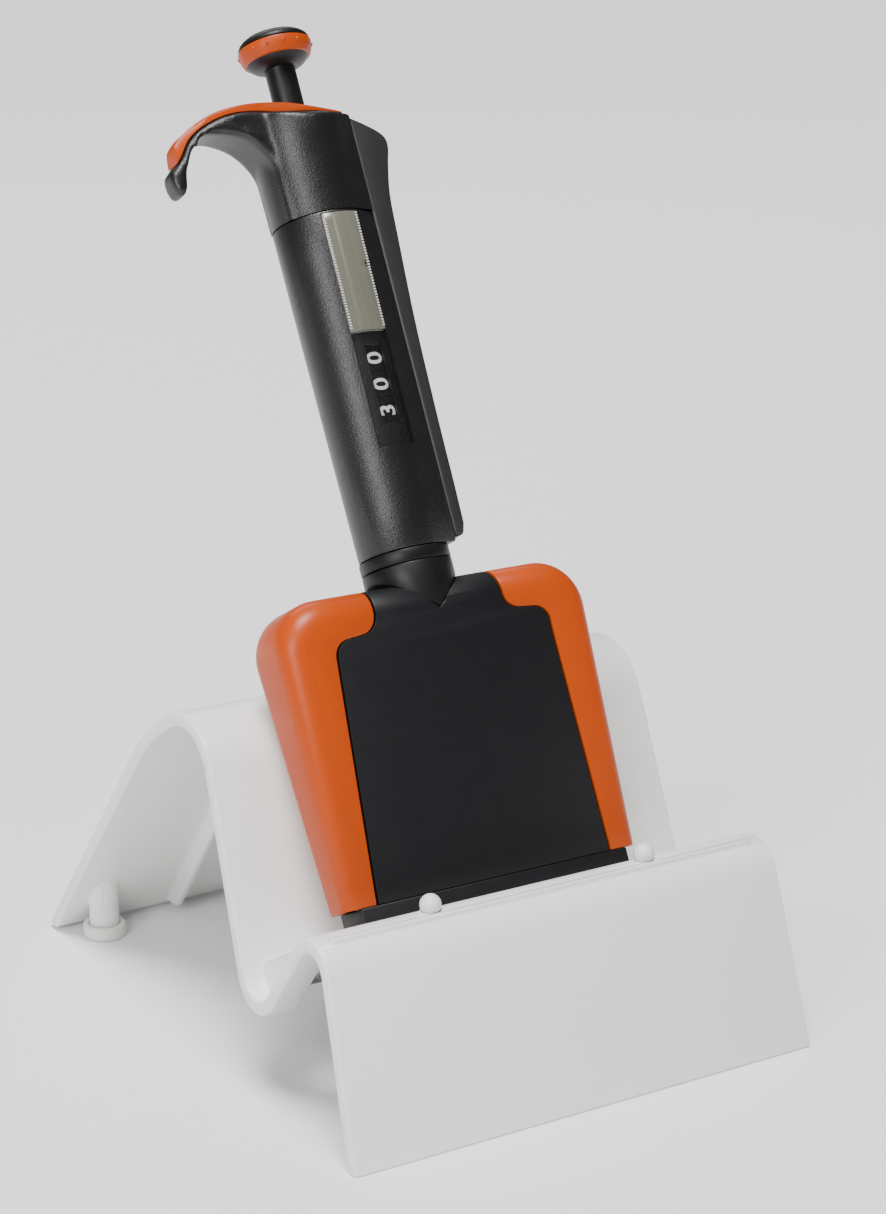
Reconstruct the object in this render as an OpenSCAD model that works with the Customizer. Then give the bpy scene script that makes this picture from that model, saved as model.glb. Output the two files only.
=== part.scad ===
/* [Stand] */
// Width of the stand along its bottom edges
stand_w = 135; // [128:1:170]
// Width of the stand across the top of the rear hump
stand_top_w = 129; // [122:1:134]
// Depth of the stand on the bench, front edge to rear edge
stand_depth = 172; // [160:1:210]
// Height of the rear hump
stand_h = 86.4; // [72:0.2:104]
// Height of the front crest
crest_h = 51; // [44:0.5:58]
// Wall thickness of the bent sheet
sheet_t = 3.6; // [3:0.1:4.4]
// Distance of the front crest from the middle of the stand
crest_y = 64.5; // [60:0.5:66]
// Radius of the front crest, at the middle of the wall
crest_r = 7.7; // [6:0.1:9]
// Radius at the bottom of the trough, at the middle of the wall
trough_r = 8; // [6:0.5:9]
// Radius of the rear hump, at the middle of the wall
hump_r = 15.2; // [12:0.2:17]
// Half length of the raised nest floor
nest_half_l = 61; // [59:0.5:62]
// Half length of the slot in the nest floor
slot_half_l = 52; // [42:1:54]
// Thickness of the nest floor
nest_t = 2.5; // [2:0.1:3.2]
// Distance from the middle to each locating peg
peg_x = 31.5; // [20:0.5:45]
// Ball diameter of a locating peg
peg_ball_d = 5.4; // [4.8:0.1:7]
// Shank diameter of a locating peg
peg_shank_d = 3.8; // [3:0.1:4.4]
// Diameter of the rear foot posts
post_d = 8.2; // [7:0.1:10]
// Outer diameter of the rear foot caps
cap_d = 11.8; // [11:0.1:14]
// Distance from the middle to each rear foot
foot_x = 56.6; // [45:0.2:58]

/* [Pipette place] */
// Backward lean of the pipette in the stand, in degrees
lean = 28.5; // [24:0.5:30]
// Sideways place of the pipette in the nest
pip_x = -2.5; // [-10:0.5:10]
// Forward distance of the head's lower edge from the stand's middle
pip_front = 39.9; // [38:0.1:41]
// Height of the head's lower edge on the axis
pip_z = 44.6; // [44:0.1:47]

/* [Head] */
// Number of channels
channels = 8; // [4:2:8]
// Distance between channels
pitch = 9; // [8.6:0.1:9.4]
// Height of the head, covers only
head_h = 77; // [74:0.5:90]
// Half width of the head at its lower edge
head_half_bottom = 43.4; // [42.4:0.1:50]
// Half width of the head at its widest, near the top
head_half_top = 45.6; // [44:0.1:54]
// Half thickness of the head at its lower edge
head_t_bottom = 5.8; // [5.6:0.1:6.2]
// Half thickness of the head at its top edge
head_t_top = 11.8; // [11:0.1:12.4]
// Half width of the dark panel at its lower edge
panel_half_bottom = 34.9; // [32:0.1:36]
// Half width of the dark panel at its shoulders
panel_half_top = 31.6; // [29:0.1:33]
// Half width of the panel's narrow top
panel_half_neck = 19.4; // [17:0.1:22]
// Wall of the head's covers
cover_t = 1.4; // [1.2:0.1:1.6]
// Gap between a side cover and the panels
cover_gap = 0.5; // [0.3:0.1:0.8]
// Piston diameter
piston_d = 6.7; // [6:0.1:6.8]
// Height of the visible bar below the covers
bar_h = 6.2; // [5.5:0.1:7.2]
// Length of the tip cones below the bar
cone_l = 17.8; // [15:0.1:20]
// Diameter of the cone where a tip fits
cone_fit_d = 5; // [4.6:0.1:5.2]

/* [Handle] */
// Radius of the round neck below the handle
neck_r = 11.8; // [11.4:0.1:11.9]
// Radius of the handle at its lower end
grip_r_bottom = 11.6; // [11.2:0.1:11.9]
// Radius of the handle at its upper end
grip_r_top = 12.5; // [12.2:0.1:14]
// Level of the handle's upper end
grip_top = 175; // [170:0.5:186]
// Reach of the finger hook from the axis
hook_reach = 40; // [36:0.5:48]
// Width of the finger hook
hook_w = 14; // [11:0.5:16]
// Width of the ejector lever
lever_w = 15.5; // [12:0.5:16]
// Travel of the plunger, both stops together
plunger_travel = 10; // [8:0.5:10]
// Travel of the tip ejector
eject_travel = 7; // [5:0.5:7]
// Radius of the volume ring
ring_r = 9.8; // [8.6:0.1:11]
// Radius of the plunger rod
rod_r = 4.05; // [3.6:0.05:4.4]

/* [Hidden] */

$fn = 48;
eps = 0.01;
run_fit = 0.05;      // radial clearance of a running fit
white = "#efefeb";
orange = "#de6a2c";
black = "#2b2b2f";
grey = "#73716a";
steel = "#b9bcc0";

// ---- outlines -------------------------------------------------------------

function unit(v) = v / norm(v);
function left_of(v) = [-v[1], v[0]];
function turn(v, a) = [v[0] * cos(a) - v[1] * sin(a), v[0] * sin(a) + v[1] * cos(a)];
function turn_angle(a, b) = atan2(a[0] * b[1] - a[1] * b[0], a * b);

// Arc points, each with its left-hand normal, for corner b between a and c.
function corner_arc(a, b, c, r, n) =
    let (d1 = unit(b - a), d2 = unit(c - b), phi = turn_angle(d1, d2), s = sign(phi))
    let (start = b - d1 * r * tan(abs(phi) / 2), n1 = left_of(d1))
    let (centre = start + n1 * s * r)
    [for (k = [0 : n]) let (nk = turn(n1, phi * k / n)) [centre - nk * s * r, nk]];

// An open path of corners [y, z, r], rounded, as points with normals.
function rounded_path(c, n) = concat(
    [[[c[0][0], c[0][1]], left_of(unit([c[1][0] - c[0][0], c[1][1] - c[0][1]]))]],
    [for (i = [1 : len(c) - 2])
        each corner_arc([c[i-1][0], c[i-1][1]], [c[i][0], c[i][1]], [c[i+1][0], c[i+1][1]], c[i][2], n)],
    let (m = len(c) - 1)
    [[[c[m][0], c[m][1]], left_of(unit([c[m][0] - c[m-1][0], c[m][1] - c[m-1][1]]))]]);

// The band between two offsets from a path.
function band(path, from, to) = concat(
    [for (p = path) p[0] + p[1] * to],
    [for (i = [len(path) - 1 : -1 : 0]) path[i][0] + path[i][1] * from]);

// A closed outline of corners [x, y, r], rounded; r = 0 keeps a corner sharp.
function rounded(c, n) = [for (i = [0 : len(c) - 1])
    let (m = len(c), p = c[(i + m - 1) % m], q = c[i], s = c[(i + 1) % m])
    each (q[2] == 0 ? [[q[0], q[1]]] :
        [for (e = corner_arc([p[0], p[1]], [q[0], q[1]], [s[0], s[1]], q[2], n)) e[0]])];

module at_pipette() {
    translate([pip_x, -pip_front, pip_z]) rotate([-lean, 0, 0]) children();
}

// Draws a front-view outline (x, level) as a slab from y = a to y = b.
module front_slab(a, b) {
    translate([0, b, 0]) rotate([90, 0, 0]) linear_extrude(b - a) children();
}

// Draws a side-view outline (y, level) as a slab from x = a to x = b.
module side_slab(a, b) {
    translate([a, 0, 0]) rotate([90, 0, 90]) linear_extrude(b - a) children();
}

module tube(r_out, r_in, from, to) {
    translate([0, 0, from]) difference() {
        cylinder(r = r_out, h = to - from);
        translate([0, 0, -1]) cylinder(r = r_in, h = to - from + 2);
    }
}

// Coil spring of round wire as one closed swept solid.
module spring(mean_r, wire_d, from, to, turns) {
    steps = 10 * turns;
    sides = 6;
    pts = [for (i = [0 : steps]) let (a = 360 * turns * i / steps,
                                      z = from + wire_d / 2 + (to - from - wire_d) * i / steps)
        for (k = [0 : sides - 1]) let (b = 360 * k / sides, r = mean_r + wire_d / 2 * cos(b))
            [r * cos(a), r * sin(a), z + wire_d / 2 * sin(b)]];
    faces = concat(
        [[for (k = [0 : sides - 1]) k]],
        [for (i = [0 : steps - 1], k = [0 : sides - 1]) let (j = (k + 1) % sides)
            [i * sides + k, (i + 1) * sides + k, (i + 1) * sides + j, i * sides + j]],
        [[for (k = [sides - 1 : -1 : 0]) steps * sides + k]]);
    polyhedron(pts, faces);
}

// ---- stand ----------------------------------------------------------------

head_taper = (head_t_top - head_t_bottom) / head_h;
function head_t(v) = head_t_bottom + head_taper * v;

// Place in the stand's side view of a point in the pipette's own side view.
function in_stand(y, v) = [-pip_front + y * cos(lean) + v * sin(lean), pip_z - y * sin(lean) + v * cos(lean)];

edge_lift = 1;        // the rear edge stands clear of the bench
skirt_mid = stand_depth / 2 - sheet_t / 2 - 0.1;
leg_mid = stand_depth / 2 - sheet_t * 0.63;
crest_corner = [-crest_y, crest_h - sheet_t / 2 + 1.12 * crest_r];
trough_corner = [-pip_front + 6.1, 15];
hump_corner_z = stand_h - sheet_t / 2 + 0.44 * hump_r;
hump_v = (hump_corner_z - pip_z + head_t_bottom * sin(lean)) / (cos(lean) - head_taper * sin(lean));
hump_corner = in_stand(head_t(hump_v), hump_v);
leg_corner = hump_corner + [28, -16.2];
path_end = 6;         // the path runs below the bench and is cut level
skirt_dir = unit(crest_corner - [-skirt_mid, 0]);
leg_dir = unit([leg_mid, 0] - leg_corner);
skirt_start = [-skirt_mid, 0] - skirt_dir * path_end;
leg_stop = [leg_mid, 0] + leg_dir * path_end;
sheet_path = rounded_path([
    [skirt_start[0], skirt_start[1], 0],
    [crest_corner[0], crest_corner[1], crest_r],
    [trough_corner[0], trough_corner[1], trough_r],
    [hump_corner[0], hump_corner[1], hump_r],
    [leg_corner[0], leg_corner[1], 50],
    [leg_stop[0], leg_stop[1], 0]], 10);

nest_v = -bar_h;
rib_x = 33;
rib_t = 2.4;
rib_depth = 5;
wall_x = 3;           // end walls of the nest
post_y = 71.8;
post_bottom = 1.5;
cap_h = 3.8;
slot_half_w = 4.6;
peg_y = -crest_y + 4.2;
peg_z = crest_h + 0.9;
peg_hole_d = peg_shank_d + 0.2;
peg_l = 7;

module under_sheet() {
    polygon(concat([for (p = sheet_path) p[0]], [[stand_depth, -20], [-stand_depth, -20]]));
}

module below_level(v) {
    a = in_stand(-26, v);
    b = in_stand(17, v);
    polygon([a, b, [b[0], 5], [a[0], 5]]);
}

module nest_fill() {
    difference() {
        below_level(nest_v);
        under_sheet();
    }
}

module nest_floor() {
    difference() {
        nest_fill();
        below_level(nest_v - nest_t);
    }
}

module stand_sides() {
    front_slab(-stand_depth, stand_depth)
        polygon([[-stand_w / 2, 0], [stand_w / 2, 0], [stand_top_w / 2, stand_h + 1], [-stand_top_w / 2, stand_h + 1]]);
}

module foot_post(x) {
    intersection() {
        translate([x, post_y, post_bottom]) cylinder(d = post_d, h = stand_h);
        side_slab(x - post_d, x + post_d) under_sheet();
    }
}

module stand_shell() color(white) {
    difference() {
        union() {
            difference() {
                side_slab(-stand_w, stand_w) polygon(band(sheet_path, -sheet_t / 2, sheet_t / 2));
                side_slab(wall_x - nest_half_l, nest_half_l - wall_x) intersection() {
                    below_level(nest_v - nest_t);
                    translate([-pip_front - 17, 5]) square([40, 60]);
                }
            }
            side_slab(-nest_half_l, nest_half_l) nest_floor();
            for (s = [-1, 1]) side_slab(min(s * nest_half_l, s * (nest_half_l - wall_x)),
                                        max(s * nest_half_l, s * (nest_half_l - wall_x))) nest_fill();
            for (s = [-1, 1]) side_slab(s * rib_x - rib_t / 2, s * rib_x + rib_t / 2) intersection() {
                polygon(band(sheet_path, -sheet_t / 2 - rib_depth, -sheet_t / 4));
                translate([hump_corner[0] + 14, 3]) square([stand_depth, stand_h]);
            }
            for (s = [-1, 1]) foot_post(s * foot_x);
        }
        // sides, the level bottom edges, the slot and the holes for the pegs
        for (s = [0, 1]) mirror([s, 0, 0]) front_slab(-stand_depth, stand_depth)
            polygon([[stand_w / 2, 0], [stand_w / 2, -20], [stand_w * 2, -20], [stand_w * 2, stand_h * 2],
                     [stand_top_w / 2 - (stand_w - stand_top_w) / 2, stand_h * 2]]);
        translate([-stand_w, -stand_depth, -40]) cube([stand_w * 2, stand_depth, 40]);
        difference() {
            translate([-stand_w, -1, -40]) cube([stand_w * 2, stand_depth, 40 + edge_lift]);
            for (s = [-1, 1]) translate([s * foot_x, post_y, 0]) cylinder(d = post_d + 1, h = 9);
        }
        at_pipette() translate([-slot_half_l - pip_x, -slot_half_w, nest_v - 8])
            cube([slot_half_l * 2, slot_half_w * 2, 9]);
        for (s = [-1, 1]) translate([s * peg_x, peg_y, 0]) {
            translate([0, 0, crest_h - peg_l - 4]) cylinder(d = peg_hole_d, h = 20);
            translate([0, 0, peg_z]) sphere(d = peg_ball_d + 0.1);
        }
    }
}

module locating_pegs() color(white) for (s = [-1, 1]) translate([s * peg_x, peg_y, 0]) {
    translate([0, 0, peg_z]) sphere(d = peg_ball_d);
    translate([0, 0, crest_h - peg_l]) cylinder(d = peg_shank_d, h = peg_l);
}

module rear_foot_caps() color(white) for (s = [-1, 1]) translate([s * foot_x, post_y, 0]) difference() {
    cylinder(d = cap_d, h = cap_h);
    translate([0, 0, post_bottom - 0.05]) cylinder(d = post_d + 0.1, h = cap_h);
}

// ---- head -----------------------------------------------------------------

corner_top_r = 13;
shoulder_v = 64.8 / 77 * head_h;
function head_outline(g, low) = rounded([
    [-head_half_bottom + g, low, 0.8], [head_half_bottom - g, low, 0.8],
    [head_half_top - g, head_h - g, corner_top_r - g], [-head_half_top + g, head_h - g, corner_top_r - g]], 8);

// The dark panel's outline, drawn smaller by g all round its curved sides.
function panel_outline(g) = rounded([
    [-panel_half_bottom + g, -1, 0], [panel_half_bottom - g, -1, 0],
    [panel_half_top - g, shoulder_v, 4.5], [panel_half_neck - g, shoulder_v + 1.2, 4.5],
    [panel_half_neck - 1 - g, head_h + 1, 0], [-panel_half_neck + 1 + g, head_h + 1, 0],
    [-panel_half_neck + g, shoulder_v + 1.2, 4.5], [-panel_half_top + g, shoulder_v, 4.5]], 6);

module head_wedge(inset) {
    side_slab(-60, 60) polygon([
        [-head_t(-10) + inset, -10], [head_t(-10) - inset, -10],
        [head_t(head_h + 10) - inset, head_h + 10], [-head_t(head_h + 10) + inset, head_h + 10]]);
}

module cover_blank(inset) {
    intersection() {
        front_slab(-30, 30) polygon(head_outline(0, 0));
        head_wedge(inset);
    }
}

rail_x = 38.4;
rail_t = 2;
cross_v = 29;
cross_h = 6;
cross_in = 4.4;
bridge_v = 66;
spigot_r = 7.5;
spigot_top = 96;
neck_top = 82;
collar_h = 3.4;
sleeve_r = 5.2;
sleeve_bore = 2.8;
bar_half = 39.4;
bar_t = 6;
frame_inset = cover_t + 0.02;
clip_v = 92;
clip_h = 1.4;
clip_r = 8.6;
prow_drop = 7.6;

module neck_prow() {
    front_slab(-neck_r - 4, neck_r + 4)
        polygon([[-neck_r - 0.2, head_h + 2], [0, head_h - prow_drop], [neck_r + 0.2, head_h + 2]]);
}

module neck_solid(g) {
    translate([0, 0, head_h]) cylinder(r = neck_r + g, h = neck_top - head_h);
    intersection() {
        translate([0, 0, head_h - prow_drop - 1]) cylinder(r = neck_r + g, h = prow_drop + 2);
        neck_prow();
    }
}

module head_frame() color(black) at_pipette() difference() {
    union() {
        intersection() {
            union() {
                for (s = [-1, 1]) translate([s * (rail_x + rail_t / 2) - rail_t / 2, -12, 0.3])
                    cube([rail_t, 24, bridge_v + 3]);
                translate([-rail_x - rail_t, -12, bridge_v]) cube([2 * (rail_x + rail_t), 24, head_h - bridge_v - cover_t]);
                for (y = [-12, cross_in]) translate([-rail_x - eps, y, cross_v - cross_h / 2])
                    cube([2 * (rail_x + eps), 12 - cross_in, cross_h]);
            }
            head_wedge(frame_inset);
            front_slab(-30, 30) polygon(head_outline(frame_inset, 0));
        }
        neck_solid(0);
        translate([0, 0, bridge_v]) cylinder(r = spigot_r, h = spigot_top - bridge_v);
    }
    translate([0, 0, bridge_v - 1]) cylinder(r = sleeve_r + 0.2, h = spigot_top);
    tube(spigot_r + 1, clip_r - 2.2, clip_v - 0.05, clip_v + clip_h + 0.05);
    for (p = screw_places) at_screw(p) {
        cylinder(d = screw_d + 0.4, h = 30);
        translate([0, 0, -screw_l - 0.2]) cylinder(d = shank_d + 0.1, h = 30);
    }
}

module head_front_cover() color(black) at_pipette() difference() {
    intersection() {
        cover_blank(0);
        front_slab(-30, 0) polygon(panel_outline(cover_gap));
    }
    head_wedge(cover_t);
    neck_solid(0.1);
}

module head_rear_cover() color(black) at_pipette() difference() {
    intersection() {
        cover_blank(0);
        front_slab(0, 30) polygon(panel_outline(cover_gap));
    }
    head_wedge(cover_t);
    neck_solid(0.1);
    for (p = screw_places) at_screw(p) cylinder(d = screw_d + 0.4, h = 30);
}

// One shell round the head's side, wrapping over the front and the back.
module side_cover(s) color(orange) at_pipette() difference() {
    cover_blank(0);
    front_slab(-30, 30) polygon(panel_outline(0));
    intersection() {
        front_slab(-30, 30) polygon(head_outline(cover_t, -2));
        head_wedge(cover_t);
    }
    translate([s > 0 ? -80 : 0, -30, -2]) cube([80, 60, 90]);
}

module left_side_cover() side_cover(-1);
module right_side_cover() side_cover(1);

cyl_r = piston_d / 2 + 0.62;
shoulder = 3.2;
cone_top_r = 3;
cyl_top = 30;
rod_x = 37;
rod_small_r = 0.9;
function channel_x(i) = (i - (channels + 1) / 2) * pitch;

module cylinder_block() color(black) at_pipette() difference() {
    union() {
        front_slab(-bar_t, bar_t) polygon(rounded([
            [-bar_half, -bar_h, 1], [bar_half, -bar_h, 1], [bar_half, -0.1, 0], [-bar_half, -0.1, 0]], 4));
        translate([-bar_half + 2, -head_t(0) + cover_t + 0.15, -1])
            cube([(bar_half - 2) * 2, (head_t(0) - cover_t - 0.15) * 2, 1.25]);
    }
    for (i = [1 : channels]) translate([channel_x(i), 0, 0]) {
        translate([0, 0, -bar_h + shoulder]) cylinder(r = cyl_r + run_fit, h = 20);
        translate([0, 0, -bar_h - 1]) cylinder(r = cone_top_r + run_fit, h = 20);
    }
    for (s = [-1, 1]) translate([s * rod_x, 0, -bar_h - 1]) cylinder(r = rod_small_r + 0.15, h = 20);
}

cone_fit_from = 4.2;
cone_fit_l = 9;
cone_bore = 2.4;
module tip_cone(i) color(grey) at_pipette() translate([channel_x(i), 0, 0]) difference() {
    union() {
        translate([0, 0, -bar_h + shoulder]) cylinder(r = cyl_r, h = cyl_top + bar_h - shoulder);
        translate([0, 0, -bar_h - cone_fit_from]) cylinder(r = cone_top_r, h = shoulder + cone_fit_from + 0.5);
        translate([0, 0, -bar_h - cone_fit_from - cone_fit_l]) cylinder(d = cone_fit_d, h = cone_fit_l + 1);
        translate([0, 0, -bar_h - cone_l])
            cylinder(d1 = cone_fit_d - 0.7, d2 = cone_fit_d, h = cone_l - cone_fit_from - cone_fit_l);
    }
    translate([0, 0, -bar_h + shoulder + 1.2]) cylinder(d = piston_d + 2 * run_fit, h = 60);
    translate([0, 0, -bar_h - cone_l - 1]) cylinder(d = cone_bore, h = 60);
}

piston_bottom = 17;
seal_v = piston_bottom + 1.3;
seal_h = 1.6;
seal_depth = 0.7;
piston_head_l = 6;
module piston_seals() color("#3a3a3a") at_pipette() for (i = [1 : channels]) translate([channel_x(i), 0, 0])
    tube(piston_d / 2, piston_d / 2 - seal_depth, seal_v, seal_v + seal_h);

bar_v = 42;
bar_piston_h = 5;
module piston(i) color(steel) at_pipette() translate([channel_x(i), 0, 0]) difference() {
    union() {
        translate([0, 0, piston_bottom]) cylinder(d = piston_d, h = piston_head_l);
        translate([0, 0, piston_bottom]) cylinder(r = 1.5, h = bar_v - piston_bottom + 1.5);
    }
    // groove for the seal
    tube(piston_d, piston_d / 2 - seal_depth - 0.02, seal_v - 0.05, seal_v + seal_h + 0.05);
}

module piston_bar() color(grey) at_pipette() difference() {
    translate([-channel_x(channels) - 3.4, -3.6, bar_v])
        cube([2 * channel_x(channels) + 6.8, 7.2, bar_piston_h]);
    for (i = [1 : channels]) translate([channel_x(i), 0, bar_v - 1]) cylinder(r = 1.55, h = 2.55);
    translate([0, 0, bar_v + bar_piston_h - 2.5]) cylinder(r = push_r + 0.02, h = 5);
}

push_r = 2.4;
push_top = 100;
module push_rod() color(steel) at_pipette()
    translate([0, 0, bar_v + bar_piston_h - 2.5]) cylinder(r = push_r, h = push_top - bar_v - bar_piston_h + 2.5);

module return_springs() color(steel) at_pipette() for (i = [1, channels]) translate([channel_x(i), 0, 0])
    spring(cyl_r - 0.3, 0.55, cyl_top + 0.1, bar_v - 0.1, 5);

screw_places = [[-14, 70.5], [14, 70.5], [-22, cross_v], [22, cross_v]];
screw_d = 3;
screw_sink = 0.4;
shank_d = 1.5;
screw_l = 1.5;
module at_screw(p) {
    translate([p[0], head_t(p[1]) - cover_t - screw_sink, p[1]]) rotate([-90, 0, 0]) children();
}

module cover_screws() color(steel) at_pipette() for (p = screw_places) at_screw(p) difference() {
    union() {
        cylinder(d = screw_d, h = cover_t);
        translate([0, 0, -screw_l]) cylinder(d = shank_d, h = screw_l + 0.5);
    }
    translate([0, 0, cover_t - 0.7]) cylinder(d = 1.4, h = 2, $fn = 6);
}

module swivel_collar() color(black) at_pipette() tube(neck_r, spigot_r + 0.02, neck_top + 0.1, neck_top + collar_h);

module swivel_clip() color(steel) at_pipette() tube(clip_r, clip_r - 2.15, clip_v, clip_v + clip_h);

// ---- tip ejector ------------------------------------------------------------

plate_h = 2.8;
yoke_v = 58;
yoke_h = 4;
flange_v = 110;
flange_h = 2;
flange_r = 7;
module ejector_plate() color(black) at_pipette() difference() {
    translate([-rod_x - 1.6, -4.3, -bar_h - 0.3 - plate_h]) cube([2 * rod_x + 3.2, 8.6, plate_h]);
    for (i = [1 : channels]) translate([channel_x(i), 0, -bar_h - plate_h - 2]) cylinder(r = cone_top_r + 0.2, h = 10);
    for (s = [-1, 1]) translate([s * rod_x, 0, -bar_h - 0.3 - plate_h + 1]) cylinder(r = rod_small_r + 0.01, h = 10);
}

module ejector_rods() color(steel) at_pipette() for (s = [-1, 1])
    translate([s * rod_x, 0, -bar_h - 0.3 - plate_h + 1])
        cylinder(r = rod_small_r, h = yoke_v + 2 + bar_h + 0.3 + plate_h - 1);

module ejector_sleeve() color(grey) at_pipette() difference() {
    union() {
        translate([-rod_x - 1, -2.2, yoke_v]) cube([2 * rod_x + 2, 4.4, yoke_h]);
        translate([0, 0, yoke_v]) cylinder(r = sleeve_r, h = flange_v - yoke_v + 0.5);
        translate([0, 0, flange_v]) cylinder(r = flange_r, h = flange_h);
    }
    translate([0, 0, yoke_v - 1]) cylinder(r = sleeve_bore, h = 80);
    for (s = [-1, 1]) translate([s * rod_x, 0, yoke_v - 1]) cylinder(r = rod_small_r + 0.01, h = 3);
}

module ejector_spring() color(steel) at_pipette() spring(6.1, 0.8, spigot_top + 0.1, flange_v - 0.1, 5);

// ---- handle -----------------------------------------------------------------

grip_bottom = neck_top + collar_h + 0.2;
function grip_r(v) = grip_r_bottom + (grip_r_top - grip_r_bottom) * (v - grip_bottom) / (grip_top - grip_bottom);
lever_in = 12;
lever_low = grip_bottom + 1.4;
lever_side = lever_w / 2;
carrier_side = lever_side + 0.5;
window_half = 5.2;
window_low = 112;
window_high = 142.4;
label_high = grip_top - 0.6;
window_t = 1.1;
view_half = 4.2;
cavity_r = 9.7;
wheel_pitch = 7;
wheel_mid = 128.7;
wheel_w = 6.7;
wheel_r = 9.1;
drum_r = 6.9;
foot_v = flange_v + flange_h + 0.3;
foot_h = 3;
seat_v = 141;

module grip_outer(g) {
    translate([0, 0, grip_bottom])
        cylinder(r1 = grip_r_bottom + g, r2 = grip_r_top + g, h = grip_top - grip_bottom);
}

module grip_layer(low, high, outer, inner) {
    intersection() {
        difference() {
            grip_outer(outer);
            grip_outer(inner);
        }
        translate([-window_half, -40, low]) cube([2 * window_half, 40, high - low]);
    }
}

module handle_grip() color(black) at_pipette() difference() {
    union() {
        grip_outer(0);
        translate([0, -carrier_side, grip_bottom])
            cube([lever_in - 0.3, 2 * carrier_side, grip_top - grip_bottom]);
    }
    translate([lever_in - 0.3, -20, grip_bottom - 1]) cube([20, 40, 100]);
    translate([0, 0, grip_bottom - 1]) cylinder(r = spigot_r + run_fit, h = 30);
    translate([0, 0, clip_v - 0.1]) cylinder(r = clip_r + 0.1, h = clip_h + 0.2);
    translate([0, 0, spigot_top + 0.3]) cylinder(r = cavity_r, h = seat_v - spigot_top - 0.3);
    translate([0, 0, seat_v - 1]) cylinder(r = cavity_r - 1.2, h = 60);
    // recess of the window and the label, the opening over the digits, the slot of the lever's foot
    difference() {
        translate([-window_half - 0.05, -40, window_low - 0.05]) cube([2 * window_half + 0.1, 40, label_high - window_low + 0.1]);
        grip_outer(-window_t - 0.6);
    }
    translate([-view_half, -40, wheel_mid - 1.5 * wheel_pitch]) cube([2 * view_half, 40, 3 * wheel_pitch]);
    translate([0, -3.2, foot_v - eject_travel - 0.5]) cube([20, 6.4, foot_h + eject_travel + 1]);
}

module counter_window() color(grey) at_pipette() grip_layer(window_low, window_high, -0.05, -window_t);

module label_plate() color(grey) at_pipette() difference() {
    grip_layer(window_high + 0.1, label_high, -0.05, -window_t);
    translate([window_half - 0.6, -40, 160]) rotate([-90, 0, 0]) cylinder(r = 1, h = 40);
}

module label_card() color("#d8d8d0") at_pipette() grip_layer(window_high + 0.1, label_high, -window_t - 0.05, -window_t - 0.5);

module counter_frame() color(grey) at_pipette() {
    tube(drum_r, drum_r - 0.8, wheel_mid - 1.5 * wheel_pitch - 0.5, seat_v - 1.5);
    tube(cavity_r - 0.1, push_r + 0.8, seat_v - 1.7, seat_v - 0.1);
}

module digit_wheel(k) color(black) at_pipette() translate([0, 0, wheel_mid + k * wheel_pitch])
    tube(wheel_r, drum_r + run_fit, -wheel_w / 2, wheel_w / 2);

module digit_wheel_lower() digit_wheel(-1);
module digit_wheel_middle() digit_wheel(0);
module digit_wheel_upper() digit_wheel(1);

module primary_spring() color(steel) at_pipette() spring(5, 0.9, seat_v + 0.1, washer_low - 0.2, 7);

// The housing's side view: body, top slope and finger hook, as distances from the hook's tip.
hook_tip_v = 185.4;
tip_half = 3.6;
pad_gap = 0.05;
housing_swell = 0.6;
seat_line = [
    [lever_in - 0.3, 203], [4, 204.2], [-7, 204.6], [-14.6, 205.3], [-21.8, 204.9], [-28.2, 202.9],
    [-hook_reach + 7.1, 199.8], [-hook_reach + 4, 195.6], [-hook_reach + 1.4, 192.6], [-hook_reach, 191.4]];
crown_line = [
    [lever_in - 0.3, 203.4], [7.6, 204.8], [-0.7, 206.7], [-8, 207.5], [-15.5, 207.5], [-23.8, 206.3],
    [-30.4, 203.6], [-hook_reach + 4.9, 200.5], [-hook_reach + 1.6, 196.2], [-hook_reach + 0.4, 192.9]];
housing_profile = concat(
    [[lever_in - 0.3, grip_top + 0.1]], seat_line,
    [[-hook_reach + 0.1, 188.4], [-hook_reach + 1.1, hook_tip_v + 0.4], [-hook_reach + 2.8, hook_tip_v],
     [-hook_reach + 4.1, 187.4], [-hook_reach + 4.8, 191], [-hook_reach + 6.6, 195.6], [-30.6, 199.2], [-27, 200.3],
     [-22.5, 199.7], [-17, 197.3], [-13.5, 193], [-grip_r_top, 186], [-grip_r_top, grip_top + 0.1]]);

module hook_plan(g) {
    polygon([[lever_in - 0.3, hook_w / 2 - g], [-18, hook_w / 2 - g], [-hook_reach - 1, tip_half - g],
             [-hook_reach - 1, g - tip_half], [-18, g - hook_w / 2], [lever_in - 0.3, g - hook_w / 2]]);
}

module housing_plan() {
    circle(r = grip_r_top + housing_swell);
    hook_plan(0);
    translate([0, -carrier_side]) square([lever_in - 0.3, 2 * carrier_side]);
}

module housing_blank() {
    intersection() {
        front_slab(-20, 20) polygon(housing_profile);
        translate([0, 0, grip_top - 1]) linear_extrude(60) housing_plan();
    }
}

module top_housing() color(black) at_pipette() difference() {
    housing_blank();
    translate([0, 0, grip_top - 1]) cylinder(r = cavity_r - 1.2, h = 25);
    translate([0, 0, grip_top]) cylinder(r = rod_r + run_fit, h = 60);
    translate([lever_in - 0.3, -20, grip_top - 1]) cube([20, 40, 60]);
}

// A pad over the hook and the housing's top, laid on a seat.
module hook_inlay() color(orange) at_pipette() difference() {
    intersection() {
        front_slab(-hook_w, hook_w) polygon(concat(
            crown_line, [for (i = [len(seat_line) - 1 : -1 : 0]) seat_line[i] + [0, pad_gap]]));
        translate([0, 0, grip_top]) linear_extrude(60) hook_plan(0.5);
    }
    translate([0, 0, grip_top]) cylinder(r = rod_r + 0.3, h = 60);
}

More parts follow.
